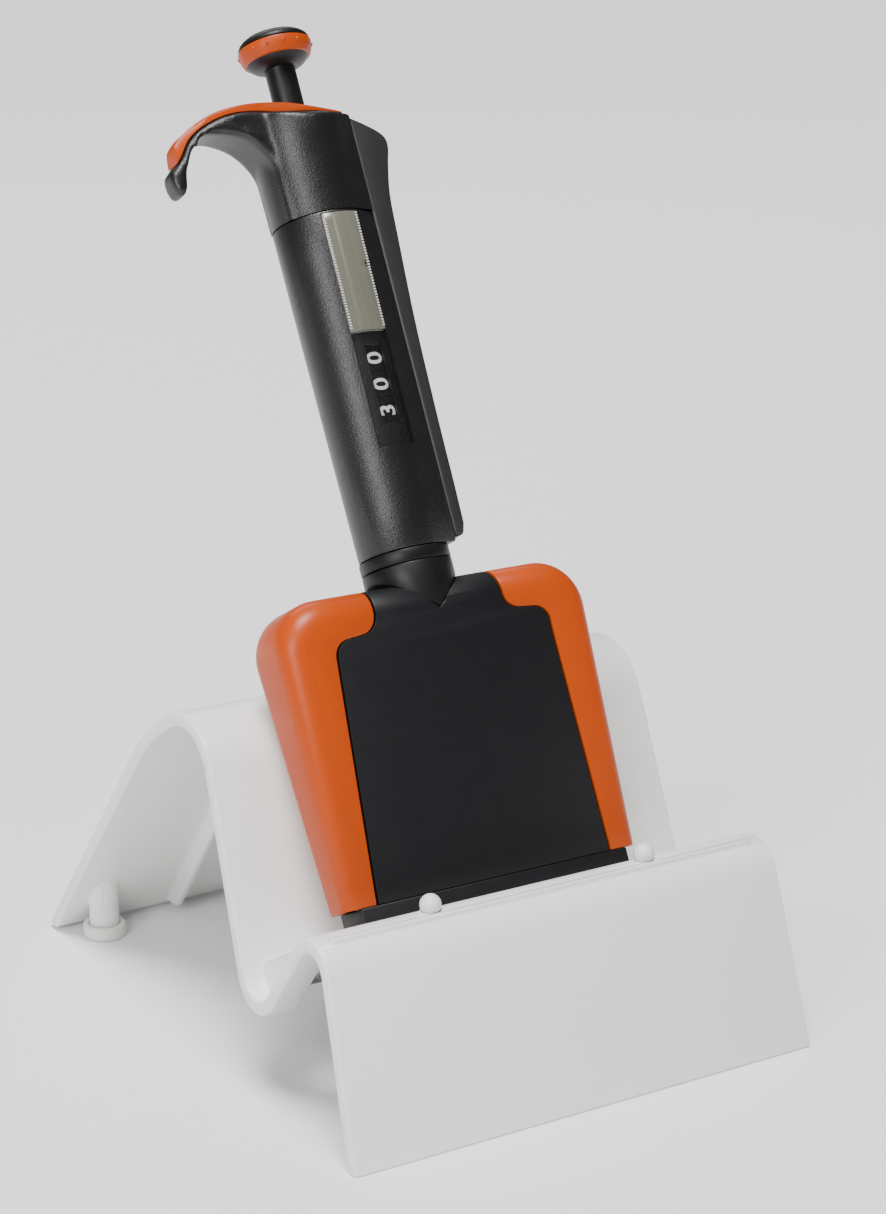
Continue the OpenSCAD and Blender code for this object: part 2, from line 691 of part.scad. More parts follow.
lever_outline = [
    [lever_in, lever_low], [15.2, lever_low], [15.8, lever_low + 3], [16.1, 120], [16.6, 144], [18.4, 172],
    [19.2, 180], [20.8, 187], [22.2, 191.4], [22.2, 194], [20.4, 196.6], [16.4, 199.2], [lever_in, 201.6]];
module ejector_lever() color(black) at_pipette() difference() {
    union() {
        front_slab(-lever_side, lever_side) polygon(lever_outline);
        translate([0, -3, foot_v]) cube([lever_in + 1, 6, foot_h]);
        translate([0, 0, foot_v]) cylinder(r = flange_r, h = foot_h);
    }
    translate([0, 0, foot_v - 1]) cylinder(r = push_r + 0.6, h = foot_h + 2);
}

// ---- plunger and volume knob -------------------------------------------------

washer_low = 168;
washer_h = 2;
rod_bottom = push_top + 0.3;
rod_join = 200;
dish_v = 218.1;
ring_v = 220.2;
ring_h = 4.4;
cap_top = 227.8;

module operating_rod() color(steel) at_pipette()
    translate([0, 0, rod_bottom]) cylinder(r = push_r, h = rod_join - rod_bottom);

module stop_washer() color(steel) at_pipette() tube(5.8, push_r + 0.02, washer_low, washer_low + washer_h);

module drag_spring() color(steel) at_pipette()
    spring(4.2, 0.9, washer_low + washer_h + 0.1, rod_sleeve - 0.1, 5);

rod_sleeve = 182;
module plunger_rod() color(black) at_pipette() difference() {
    translate([0, 0, rod_sleeve]) cylinder(r = rod_r, h = dish_v + 1 - rod_sleeve);
    translate([0, 0, rod_sleeve - 1]) cylinder(r = push_r + run_fit, h = rod_join - rod_sleeve + 1.1);
}

module button_dish() color(black) at_pipette() difference() {
    union() {
        translate([0, 0, dish_v]) cylinder(r1 = rod_r + 1, r2 = ring_r - 1.6, h = ring_v - dish_v);
        translate([0, 0, ring_v]) cylinder(r = ring_r - 3.1, h = ring_h);
    }
    translate([0, 0, dish_v - 1]) cylinder(r = rod_r + 0.01, h = 2);
}

bump_n = 16;
module volume_ring() color(orange) at_pipette() difference() {
    union() {
        translate([0, 0, ring_v]) cylinder(r1 = ring_r - 1.3, r2 = ring_r, h = ring_h / 2);
        translate([0, 0, ring_v + ring_h / 2]) cylinder(r = ring_r, h = ring_h / 2);
        for (k = [0 : bump_n - 1]) rotate([0, 0, 360 * k / bump_n])
            translate([ring_r - 0.35, 0, ring_v + ring_h * 0.62]) sphere(r = 0.7, $fn = 16);
    }
    translate([0, 0, ring_v - 1]) cylinder(r = ring_r - 3.08, h = 10);
}

module button_cap() color(black) at_pipette() {
    translate([0, 0, ring_v + ring_h + 0.02]) cylinder(r1 = ring_r - 0.2, r2 = ring_r - 2.6, h = cap_top - ring_v - ring_h - 0.02);
}

stand_shell();
locating_pegs();
rear_foot_caps();
head_frame();
head_front_cover();
head_rear_cover();
left_side_cover();
right_side_cover();
cylinder_block();
piston_seals();
cover_screws();
swivel_collar();
swivel_clip();
ejector_plate();
ejector_rods();
ejector_sleeve();
ejector_spring();
piston_bar();
push_rod();
return_springs();
handle_grip();
top_housing();
hook_inlay();
counter_window();
label_plate();
label_card();
counter_frame();
primary_spring();
ejector_lever();
operating_rod();
stop_washer();
drag_spring();
plunger_rod();
button_dish();
volume_ring();
button_cap();
digit_wheel_lower();
digit_wheel_middle();
digit_wheel_upper();
for (i = [1 : channels]) tip_cone(i);
for (i = [1 : channels]) piston(i);
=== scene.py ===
import math

import bpy
from mathutils import Matrix, Vector


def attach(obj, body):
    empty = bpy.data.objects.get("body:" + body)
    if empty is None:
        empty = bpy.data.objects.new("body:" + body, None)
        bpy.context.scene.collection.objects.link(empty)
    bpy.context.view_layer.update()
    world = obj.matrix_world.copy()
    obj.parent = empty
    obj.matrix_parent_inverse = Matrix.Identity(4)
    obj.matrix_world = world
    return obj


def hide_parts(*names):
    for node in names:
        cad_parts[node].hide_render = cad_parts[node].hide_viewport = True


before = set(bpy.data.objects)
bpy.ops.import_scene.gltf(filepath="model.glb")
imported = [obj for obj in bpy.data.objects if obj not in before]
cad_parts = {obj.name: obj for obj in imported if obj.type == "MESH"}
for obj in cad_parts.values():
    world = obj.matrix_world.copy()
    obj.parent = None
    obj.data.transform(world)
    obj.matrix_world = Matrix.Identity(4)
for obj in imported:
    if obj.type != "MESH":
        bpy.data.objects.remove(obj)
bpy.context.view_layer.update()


# ---- Camera, light and floor ----
# A product set on a pale floor under a broad light from above; a soft box at the left front
# draws the highlight along the black handle and a strip behind lights the rear edges.
camera_place = Vector((-0.36963, -0.60850, 0.32766))
camera_right = Vector((0.850042, -0.526678, 0.006218))
camera_up = Vector((0.151671, 0.256064, 0.954687))
camera_back = -Vector((0.504405, 0.810581, -0.297547))
camera_data = bpy.data.cameras.new("camera")
camera_data.lens = 85.84
camera_data.sensor_width = 36
camera_data.clip_end = 20  # metres
camera = bpy.data.objects.new("camera", camera_data)
camera.matrix_world = Matrix((
    (camera_right.x, camera_up.x, camera_back.x, camera_place.x),
    (camera_right.y, camera_up.y, camera_back.y, camera_place.y),
    (camera_right.z, camera_up.z, camera_back.z, camera_place.z),
    (0, 0, 0, 1)))
bpy.context.collection.objects.link(camera)
bpy.context.scene.camera = camera


def soft_box(name, place, aim, size, power):
    data = bpy.data.lights.new(name, "AREA")
    data.shape = "RECTANGLE"
    data.size, data.size_y = size
    data.energy = power
    lamp = bpy.data.objects.new(name, data)
    lamp.location = place
    lamp.rotation_euler = (Vector(aim) - Vector(place)).to_track_quat("-Z", "Y").to_euler()
    bpy.context.collection.objects.link(lamp)


def far_light(name, aim, spread, power):
    """A distant soft light, so that the floor stays evenly bright."""
    data = bpy.data.lights.new(name, "SUN")
    data.angle = math.radians(spread)
    data.energy = power
    lamp = bpy.data.objects.new(name, data)
    lamp.rotation_euler = Vector(aim).to_track_quat("-Z", "Y").to_euler()
    bpy.context.collection.objects.link(lamp)


far_light("key_above", (0.14, 0.10, -1), 26, 4.9)
soft_box("front_box", (-1.08, -0.70, 0.82), (0, 0, 0.16), (0.6, 0.5), 13)
soft_box("strip_behind", (0.3, 1.2, 1.1), (0, 0, 0.14), (1.0, 0.25), 4)
world = bpy.data.worlds.new("studio")
world.use_nodes = True
world.node_tree.nodes["Background"].inputs[0].default_value = (1, 1, 1, 1)
world.node_tree.nodes["Background"].inputs[1].default_value = 0.12
bpy.context.scene.world = world


def join(tree, source, target):
    tree.links.new(source, target)


def add_node(tree, kind, **settings):
    node = tree.nodes.new(kind)
    for key, value in settings.items():
        if key in node.inputs:
            node.inputs[key].default_value = value
        else:
            setattr(node, key, value)
    return node


def moulded(name, colour, rough, grain=0.35, depth=0.02, mottle=0.06, rough_spread=0.08,
            coat=0.0, shine=0.5):
    """Injection-moulded plastic: grain and depth in millimetres, a little colour drift and wear."""
    material = bpy.data.materials.new(name)
    material.use_nodes = True
    tree = material.node_tree
    shader = tree.nodes["Principled BSDF"]
    place = add_node(tree, "ShaderNodeTexCoord").outputs["Object"]
    grain_noise = add_node(tree, "ShaderNodeTexNoise", Scale=1000 / grain, Detail=3.0, Roughness=0.6)
    join(tree, place, grain_noise.inputs["Vector"])
    bump = add_node(tree, "ShaderNodeBump", Strength=1.0, Distance=depth / 1000)
    join(tree, grain_noise.outputs[0], bump.inputs["Height"])
    join(tree, bump.outputs[0], shader.inputs["Normal"])
    drift = add_node(tree, "ShaderNodeTexNoise", Scale=45.0, Detail=4.0)
    join(tree, place, drift.inputs["Vector"])
    tint = add_node(tree, "ShaderNodeMix", data_type="RGBA")
    darker = [c * (1 - mottle) for c in colour] + [1]
    lighter = [min(1, c * (1 + mottle)) for c in colour] + [1]
    tint.inputs[6].default_value = darker
    tint.inputs[7].default_value = lighter
    join(tree, drift.outputs[0], tint.inputs[0])
    join(tree, tint.outputs[2], shader.inputs["Base Color"])
    smudge = add_node(tree, "ShaderNodeTexNoise", Scale=160.0, Detail=6.0, Roughness=0.7)
    join(tree, place, smudge.inputs["Vector"])
    spread = add_node(tree, "ShaderNodeMapRange")
    spread.inputs["To Min"].default_value = rough - rough_spread
    spread.inputs["To Max"].default_value = rough + rough_spread
    join(tree, smudge.outputs[0], spread.inputs["Value"])
    join(tree, spread.outputs[0], shader.inputs["Roughness"])
    shader.inputs["Specular IOR Level"].default_value = shine
    shader.inputs["Coat Weight"].default_value = coat
    shader.inputs["Coat Roughness"].default_value = 0.25
    return material


def deselect():
    if bpy.context.mode != "OBJECT":
        bpy.ops.object.mode_set(mode="OBJECT")
    bpy.ops.object.select_all(action="DESELECT")


deselect()
bpy.ops.mesh.primitive_plane_add(size=8, location=(0, 0, 0))
floor = bpy.context.view_layer.objects.active
floor.name = "floor"
floor_paper = moulded("floor_paper", (0.86, 0.86, 0.86), 0.75, grain=1.2, mottle=0.01)
floor.data.materials.append(floor_paper)


# ---- Stand ----
# One injection-moulded sheet of white styrene, 3.6 mm thick, bent front to back into a crest,
# a trough with a raised nest, and a hump; ribs and two foot posts are moulded under the hump.
stand_edge = 0.7
white = (0.84, 0.84, 0.825)
stand_white = moulded("stand_white", white, 0.34, grain=0.5, depth=0.006, mottle=0.012, rough_spread=0.05)


def activate(piece):
    deselect()
    piece.select_set(True)
    bpy.context.view_layer.objects.active = piece


def apply(piece, modifier):
    activate(piece)
    bpy.ops.object.modifier_apply(modifier=modifier.name)


def tidy(piece, merge, flat):
    activate(piece)
    bpy.ops.object.mode_set(mode="EDIT")
    bpy.ops.mesh.select_all(action="SELECT")
    bpy.ops.mesh.remove_doubles(threshold=merge)
    bpy.ops.mesh.dissolve_limited(angle_limit=math.radians(flat))
    bpy.ops.object.mode_set(mode="OBJECT")


def soften(piece, width, segments=2, angle=35):
    edges = piece.modifiers.new("edges", "BEVEL")
    edges.width = width
    edges.segments = segments
    edges.limit_method = "ANGLE"
    edges.angle_limit = math.radians(angle)
    edges.use_clamp_overlap = False
    apply(piece, edges)


def settle(piece, body, material, slot, *nodes, smooth=35):
    """Shades a finished piece, paints it and hands it to its body."""
    piece.data.materials.clear()
    piece.data.materials.append(material)
    activate(piece)
    bpy.ops.object.shade_smooth_by_angle(angle=math.radians(smooth))
    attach(piece, body)
    if nodes:
        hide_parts(*nodes)


def softened(node, name, width, body, material, slot, segments=2):
    """A copy of a CAD node, in metres, with its sharp edges rounded by a width in millimetres."""
    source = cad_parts[node]
    piece = source.copy()
    piece.data = source.data.copy()
    piece.parent = None
    piece.matrix_world = Matrix.Identity(4)
    piece.name = name
    bpy.context.collection.objects.link(piece)
    tidy(piece, 2e-6, 0.6)
    soften(piece, width / 1000, segments)
    settle(piece, body, material, slot, node)
    return piece


def paint(material, *nodes):
    for node in nodes:
        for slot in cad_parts[node].material_slots:
            slot.material = material


softened("stand_shell", "stand_sheet", stand_edge, "stand", stand_white, "stand_white", 3)


# ---- Locating pegs and foot caps ----
# Two ball-headed nylon pegs snapped into the crest, and two soft-edged caps pushed on the posts.
peg_white = moulded("peg_white", (0.80, 0.80, 0.77), 0.42, grain=0.3, depth=0.01, mottle=0.02)
softened("rear_foot_caps", "foot_caps", 0.6, "stand", peg_white, "stand_white")
paint(peg_white, "locating_pegs")


# ---- Head covers ----
# Two satin orange side shells clip round a wedge-shaped head, thin at the tips and thick at the
# neck; smooth black panels close the front and the back along an S-shaped joint.
lean = math.radians(28.5)
pipette = (Matrix.Scale(0.001, 4) @ Matrix.Translation((-2.5, -39.9, 44.6))
           @ Matrix.Rotation(-lean, 4, "X"))
head_height = 77
thin_end, thick_end = 5.8, 11.8
outer_low, outer_high = 43.4, 45.6
corner_radius = 13
wall = 1.5
joint_gap = 0.55
rim_low, rim_high = 3.0, 6.6
orange = (0.46, 0.054, 0.0005)
cover_orange = moulded("cover_orange", orange, 0.36, grain=0.3, depth=0.007, mottle=0.03, shine=0.3)
panel_black = moulded("panel_black", (0.0045, 0.0046, 0.0060), 0.50, grain=0.35, depth=0.012,
                      mottle=0.08, shine=0.35)


def rounded(corners, steps=8):
    """A closed outline from corners (x, y, radius)."""
    outline = []
    count = len(corners)
    for i, (x, y, radius) in enumerate(corners):
        here = Vector((x, y))
        before = (here - Vector(corners[i - 1][:2])).normalized()
        after = (Vector(corners[(i + 1) % count][:2]) - here).normalized()
        if radius == 0:
            outline.append((x, y))
            continue
        turn = math.atan2(before.x * after.y - before.y * after.x, before.dot(after))
        start = here - before * radius * math.tan(abs(turn) / 2)
        side = math.copysign(1, turn)
        normal = Vector((-before.y, before.x)) * side
        centre = start + normal * radius
        for k in range(steps + 1):
            angle = turn * k / steps
            spoke = Vector((
                normal.x * math.cos(angle) - normal.y * math.sin(angle),
                normal.x * math.sin(angle) + normal.y * math.cos(angle)))
            point = centre - spoke * radius
            outline.append((point.x, point.y))
    return outline


def loft(name, rings):
    """A closed solid: the first ring is a filled circle, extruded ring by ring."""
    deselect()
    count = len(rings[0])
    bpy.ops.mesh.primitive_circle_add(vertices=count, radius=1, fill_type="NGON")
    piece = bpy.context.view_layer.objects.active
    piece.name = name
    for vertex, place in zip(piece.data.vertices, rings[0]):
        vertex.co = place
    for ring in rings[1:]:
        bpy.ops.object.mode_set(mode="EDIT")
        bpy.ops.mesh.extrude_region_move()
        bpy.ops.object.mode_set(mode="OBJECT")
        moved = [vertex for vertex in piece.data.vertices if vertex.select]
        for vertex, place in zip(moved, ring):
            vertex.co = place
    face_out(piece)
    return piece


def face_out(piece):
    activate(piece)
    bpy.ops.object.mode_set(mode="EDIT")
    bpy.ops.mesh.select_all(action="SELECT")
    bpy.ops.mesh.normals_make_consistent(inside=False)
    bpy.ops.object.mode_set(mode="OBJECT")


def slab(name, outline, low, high):
    """An outline in the head's face, (across, along), extruded from low to high in depth."""
    return loft(name, [[(x, low, v) for x, v in outline], [(x, high, v) for x, v in outline]])


def cut(piece, tool, how="DIFFERENCE", keep=False):
    change = piece.modifiers.new("cut", "BOOLEAN")
    change.operation = how
    change.object = tool
    change.solver = "EXACT"
    apply(piece, change)
    if not keep:
        bpy.data.objects.remove(tool)


def trim(piece, point, normal):
    """Cuts away what lies on the normal's side of a plane and closes the cut."""
    activate(piece)
    bpy.ops.object.mode_set(mode="EDIT")
    bpy.ops.mesh.select_all(action="SELECT")
    bpy.ops.mesh.bisect(plane_co=point, plane_no=normal, use_fill=True, clear_outer=True)
    bpy.ops.object.mode_set(mode="OBJECT")


def duplicate(piece, name):
    other = piece.copy()
    other.data = piece.data.copy()
    other.name = name
    bpy.context.collection.objects.link(other)
    return other


def thickness(v):
    return thin_end + (thick_end - thin_end) * v / head_height


def head_blank(name, inset):
    """The whole head with its rims rounded, more at the neck than at the tips."""
    below = -16
    slope = (outer_high - outer_low) / head_height
    foot = outer_low + slope * below - inset
    shoulder = outer_high - inset
    top = head_height - inset
    corners = [(foot, below, 1), (shoulder, top, corner_radius - inset),
               (-shoulder, top, corner_radius - inset), (-foot, below, 1)]
    outline = rounded(corners, 14)
    count = len(outline)
    rim_steps = 7
    rings = []
    for side in (-1, 1):
        order = range(rim_steps + 1) if side < 0 else range(rim_steps, -1, -1)
        for k in order:
            angle = math.pi / 2 * k / rim_steps
            ring = []
            for i, (x, v) in enumerate(outline):
                ahead = Vector(outline[(i + 1) % count]) - Vector(outline[i - 1])
                inward = Vector((-ahead.y, ahead.x)).normalized()
                radius = rim_low + (rim_high - rim_low) * max(0, min(1, v / head_height)) - inset
                step = radius * (1 - math.sin(angle))
                depth = thickness(v) - inset - radius * (1 - math.cos(angle))
                ring.append((x + inward.x * step, side * depth, v + inward.y * step))
            rings.append(ring)
    return loft(name, rings)


def panel_outline(grow):
    shoulder = 64.8
    bend = 4.5
    half = [(34.9, -20, 0), (34.9, 0, 0), (31.6, shoulder, bend), (19.4, shoulder + 1.2, bend),
            (18.4, head_height + 3, 0)]
    right = [(x - grow, v, radius) for x, v, radius in half]
    left = [(-x, v, radius) for x, v, radius in reversed(right)]
    return rounded(right + left)


shell = head_blank("head_shell", 0)
hollow = head_blank("head_hollow", wall)
cut(shell, hollow)
trim(shell, (0, 0, 0), (0, 0, -1))
neck_radius = 11.8
neck_gap = 0.12
neck_hole = loft("neck_hole", [
    [(math.cos(a / 32 * math.pi) * (neck_radius + neck_gap),
      math.sin(a / 32 * math.pi) * (neck_radius + neck_gap), v)
     for a in range(64)] for v in (68.9, 90)])
prow_half = neck_radius + 0.3
prow_low, prow_high = head_height + 2, head_height + 12
prow = slab("prow", [(-prow_half, prow_high), (-prow_half, prow_low), (0, 69.1),
                     (prow_half, prow_low), (prow_half, prow_high)], -20, 20)
cut(neck_hole, prow, "INTERSECT")

for side, name, node in ((-1, "orange_cover_left", "left_side_cover"),
                         (1, "orange_cover_right", "right_side_cover")):
    cover = duplicate(shell, name)
    cut(cover, slab("panel_cut", panel_outline(0), -30, 30))
    trim(cover, (0, 0, 0), (-side, 0, 0))
    tidy(cover, 0.01, 0.3)
    soften(cover, 0.3, 2, 40)
    cover.data.transform(pipette)
    settle(cover, "head", cover_orange, "cover_orange", node)

screw_places = ((-14, 70.5), (14, 70.5), (-22, 29), (22, 29))
for side, name, node in ((-1, "front_panel", "head_front_cover"), (1, "rear_panel", "head_rear_cover")):
    panel = duplicate(shell, name)
    cut(panel, slab("panel_keep", panel_outline(joint_gap), -30, 30), "INTERSECT")
    trim(panel, (0, 0, 0), (0, -side, 0))
    cut(panel, neck_hole, "DIFFERENCE", True)
    if side > 0:
        for x, v in screw_places:
            deselect()
            bpy.ops.mesh.primitive_cylinder_add(vertices=32, radius=1.7, depth=12, location=(x, 12, v),
                                                rotation=(math.pi / 2, 0, 0))
            cut(panel, bpy.context.view_layer.objects.active)
    tidy(panel, 0.01, 0.3)
    soften(panel, 0.35, 2, 40)
    panel.data.transform(pipette)
    settle(panel, "head", panel_black, "panel_black", node)
bpy.data.objects.remove(shell)
bpy.data.objects.remove(neck_hole)


# ---- Neck, collar and the channel bar ----
# The black chassis ends in a neck with a prow that lies in the front panel; a loose collar turns
# on it. The bar below the covers holds eight grey tip cones at the 9 mm pitch.
black = (0.0055, 0.0055, 0.0062)
grained_black = moulded("grained_black", black, 0.36, grain=0.5, depth=0.11, mottle=0.1, shine=0.6)
smooth_black = moulded("smooth_black", (0.0055, 0.0058, 0.0066), 0.42, grain=0.4, depth=0.015,
                       mottle=0.08, shine=0.3)
cone_grey = moulded("cone_grey", (0.36, 0.36, 0.35), 0.4, grain=0.3, depth=0.01, mottle=0.04)


def rod(name, radius, low, high, sides=64):
    """A round bar along the pipette's axis."""
    return loft(name, [[(math.cos(a * 2 * math.pi / sides) * radius,
                         math.sin(a * 2 * math.pi / sides) * radius, v)
                        for a in range(sides)] for v in (low, high)])


def block(name, low, high):
    deselect()
    centre = [(a + b) / 2 for a, b in zip(low, high)]
    bpy.ops.mesh.primitive_cube_add(size=1, location=centre)
    piece = bpy.context.view_layer.objects.active
    piece.name = name
    piece.scale = [b - a for a, b in zip(low, high)]
    bpy.ops.object.transform_apply(location=True, rotation=False, scale=True)
    return piece


def unite(piece, *others):
    for other in others:
        cut(piece, other, "UNION")
    return piece


chassis = rod("head_chassis", neck_radius, 69.0, 81.9)
prow_reach = neck_radius + 0.2
cut(chassis, slab("prow_shape", [(-prow_reach, 100), (-prow_reach, 79), (0, 69.4),
                                 (prow_reach, 79), (prow_reach, 100)], -20, 20), "INTERSECT")
soften(chassis, 0.3, 2, 50)
rail_in, rail_out, rail_deep = 38.4, 40.3, 3.4
unite(chassis, rod("spigot", 7.5, 66, 96), block("bridge", (-33, -5.2, 66), (33, 5.2, 73)),
      block("rail_left", (-rail_out, -rail_deep, 0.3), (-rail_in, rail_deep, 68)),
      block("rail_right", (rail_in, -rail_deep, 0.3), (rail_out, rail_deep, 68)))
unite(chassis, block("cross_bar", (-rail_out, 4.4, 26), (rail_out, 6.5, 32)),
      block("top_bar", (-39, -rail_deep, 62), (39, rail_deep, 68)))
cut(chassis, rod("sleeve_bore", 5.4, 60, 100))
chassis.data.transform(pipette)
settle(chassis, "head", smooth_black, "body_black", "head_frame")
softened("swivel_collar", "neck_collar", 0.3, "head", smooth_black, "body_black")
softened("cylinder_block", "channel_bar", 0.35, "head", panel_black, "panel_black")
softened("ejector_plate", "eject_plate", 0.25, "ejector_set", panel_black, "panel_black")
paint(cone_grey, *["tip_cone_%d" % i for i in range(1, 9)])


# ---- Handle grip ----
# A grained black tube, round on the palm side and drawn out to a flat on the lever side; the
# counter shows through a window in its front, with a label recess above.
grip_low, grip_high = 85.6, 175.0
grip_radius_low, grip_radius_high = 11.6, 12.5
flat_place, flat_half = 11.7, 8.2
window_half = 5.25
window_low, label_high = 111.95, 174.45


def grip_radius(v):
    return grip_radius_low + (grip_radius_high - grip_radius_low) * (v - grip_low) / (grip_high - grip_low)


def grip_section(radius, flat, inset=0.0):
    """Round on the left, with straight tangents to the two corners of the flat on the right."""
    radius -= inset
    x, y = flat - inset, flat_half - inset
    reach = math.hypot(x, y)
    corner = math.atan2(y, x)
    tangent = corner + math.acos(min(0.999, radius / max(reach, radius * 1.002)))
    points = [(radius * math.cos(tangent + (2 * math.pi - 2 * tangent) * k / 56),
               radius * math.sin(tangent + (2 * math.pi - 2 * tangent) * k / 56)) for k in range(57)]
    blunt, nick = 0.5, 0.15
    points += [(x - blunt, -y), (x - nick, -y + nick), (x, -y + blunt),
               (x, y - blunt), (x - nick, y - nick), (x - blunt, y)]
    return points


def grip_loft(name, low, high, inset=0.0, end=0.45):
    levels = [(low, end), (low + end * 0.3, end * 0.3), (low + end, 0)]
    levels += [(low + (high - low) * k / 8, 0) for k in range(1, 8)]
    levels += [(high - end, 0), (high - end * 0.3, end * 0.3), (high, end)]
    return loft(name, [[(x, y, v) for x, y in grip_section(grip_radius(v), flat_place, inset + shrink)]
                       for v, shrink in levels])


grip = grip_loft("handle_tube", grip_low, grip_high)
recess = block("recess", (-window_half, -30, window_low), (window_half, 0, label_high))
recess_depth = 1.7
core = loft("core", [[(math.cos(a * math.pi / 40) * (grip_radius(v) - recess_depth),
                       math.sin(a * math.pi / 40) * (grip_radius(v) - recess_depth), v)
                      for a in range(80)] for v in (80, 190)])
cut(recess, core)
cut(grip, recess)
cut(grip, block("opening", (-1.8, -30, 118.2), (3.3, 0, 139.2)))
cut(grip, rod("hollow", 7.55, 80, 116))
cut(grip, rod("counter_room", 9.7, 96.3, 141))
cut(grip, rod("upper_room", 8.5, 140, 190))
cut(grip, block("foot_slot", (0, -3.2, 104.8), (20, 3.2, 116.3)))
tidy(grip, 0.005, 0.2)
grip.data.transform(pipette)
settle(grip, "handle", grained_black, "body_black", "handle_grip", smooth=32)


# ---- Top housing and finger hook ----
# The housing swells from the grip and sweeps over to the left as a hook for the index finger,
# moulded in one with it; it is grained like the grip, and cut flat where the lever slides.
hook_half, tip_half = 7.0, 3.6
seat_line = [(11.7, 203.0), (4, 204.2), (-7, 204.6), (-14.6, 205.3), (-21.8, 204.9),
             (-28.2, 202.9), (-32.9, 199.8), (-36.0, 195.6), (-38.6, 192.6), (-40.0, 191.4)]
crown_line = [(11.7, 203.4), (7.6, 204.8), (-0.7, 206.7), (-8, 207.5), (-15.5, 207.5),
              (-23.8, 206.3), (-30.4, 203.6), (-35.1, 200.5), (-38.4, 196.2), (-39.6, 192.9)]
under_line = [(-39.9, 188.4), (-38.9, 185.8), (-37.2, 185.4), (-35.9, 187.4), (-35.2, 191.0),
              (-33.4, 195.6), (-30.6, 199.2), (-27, 200.3), (-22.5, 199.7), (-17, 197.3),
              (-12.5, 191), (-11.8, 184), (-11.5, 168)]
taper_from, taper_over = 16, 22


def hook_taper(piece):
    """Narrows a slab towards the hook's tip."""
    for vertex in piece.data.vertices:
        reach = max(0, min(1, (-vertex.co.x - taper_from) / taper_over))
        reach = reach * reach * (3 - 2 * reach)
        vertex.co.y *= 1 - (1 - tip_half / hook_half) * reach


def blend(piece, size, passes):
    """Skins a rough body with an even mesh and relaxes it, as a fillet would."""
    skin = piece.modifiers.new("skin", "REMESH")
    skin.mode = "VOXEL"
    skin.voxel_size = size
    apply(piece, skin)
    relax = piece.modifiers.new("relax", "SMOOTH")
    relax.factor = 0.5
    relax.iterations = passes
    apply(piece, relax)


def smooth_line(points, steps=6):
    """A curve through the points."""
    padded = [points[0]] + points + [points[-1]]
    line = []
    for i in range(1, len(padded) - 2):
        p0, p1, p2, p3 = (Vector(padded[j]) for j in (i - 1, i, i + 1, i + 2))
        for k in range(steps):
            t = k / steps
            point = 0.5 * (2 * p1 + (p2 - p0) * t + (2 * p0 - 5 * p1 + 4 * p2 - p3) * t * t
                           + (3 * p1 - p0 - 3 * p2 + p3) * t * t * t)
            line.append((point.x, point.y))
    return line + [points[-1]]


seat = smooth_line(seat_line)
crown = smooth_line(crown_line)
housing_flat = 13.5
swell = ((168, 12.45), (175, 12.5), (182, 12.7), (190, 13.0), (197, 13.6), (202, 13.6), (206, 13.2))
housing = loft("hook_housing", [[(x, y, v) for x, y in grip_section(radius, housing_flat)]
                                for v, radius in swell])
hook_outline = [(housing_flat, 168), (housing_flat, 202.6)] + seat + smooth_line(under_line, 4)
hook_slab = slab("hook_slab", hook_outline, -hook_half, hook_half)
hook_taper(hook_slab)
soften(hook_slab, 1.5, 3, 60)
dome = [(-60, 160), (40, 160), (40, 190), (13.5, 202.8), (4, 204.6), (-7, 205.2), (-15, 205.4),
        (-60, 205.4)]
dome_from, dome_fall = 195, 46
top_dome = loft("top_dome", [[(x, y, v - y * y / dome_fall if v > dome_from else v) for x, v in dome]
                             for y in range(-20, 21, 2)])
cut(housing, top_dome, "INTERSECT")
unite(housing, hook_slab)
blend(housing, 0.5, 20)
trim(housing, (0, 0, 175.15), (0, 0, -1))
trim(housing, (flat_place, 0, 0), (1, 0, 0))
cut(housing, rod("rod_hole", 4.3, 190, 230))
cut(housing, rod("housing_room", 8.5, 160, 196))
pad_half = hook_half - 1.1
seat_half = pad_half + 0.15
seat_shape = [(x, v + 14) for x, v in crown] + list(reversed(seat))
seat_tool = slab("pad_seat", seat_shape, -seat_half, seat_half)
hook_taper(seat_tool)
cut(housing, seat_tool)
tidy(housing, 0.004, 0.05)
housing.data.transform(pipette)
settle(housing, "handle", grained_black, "body_black", "top_housing", smooth=40)


# ---- Hook pad ----
# A soft orange pad of a rubbery plastic lies in a seat along the top of the hook and runs past the
# plunger; its upper edges are chamfered and it stands a little proud of the black rim.
pad_orange = moulded("pad_orange", orange, 0.40, grain=0.3, depth=0.01, mottle=0.03, shine=0.3)
pad_end = 193.8
pad_chamfer = 0.9
pad_rings = []
for (x, v), (crown_x, crown_v) in zip(seat, crown):
    if v > pad_end:
        edge_x, edge_v = (x + 2 * crown_x) / 3, (v + 2 * crown_v) / 3
        flat = pad_half - pad_chamfer
        pad_rings.append([(x, -pad_half, v), (x, pad_half, v), (edge_x, pad_half, edge_v),
                          (crown_x, flat, crown_v), (crown_x, -flat, crown_v),
                          (edge_x, -pad_half, edge_v)])
pad = loft("hook_pad", pad_rings)
hook_taper(pad)
cut(pad, rod("pad_hole", 4.35, 190, 230))
pad.data.transform(pipette)
settle(pad, "handle", pad_orange, "cover_orange", "hook_inlay", smooth=45)


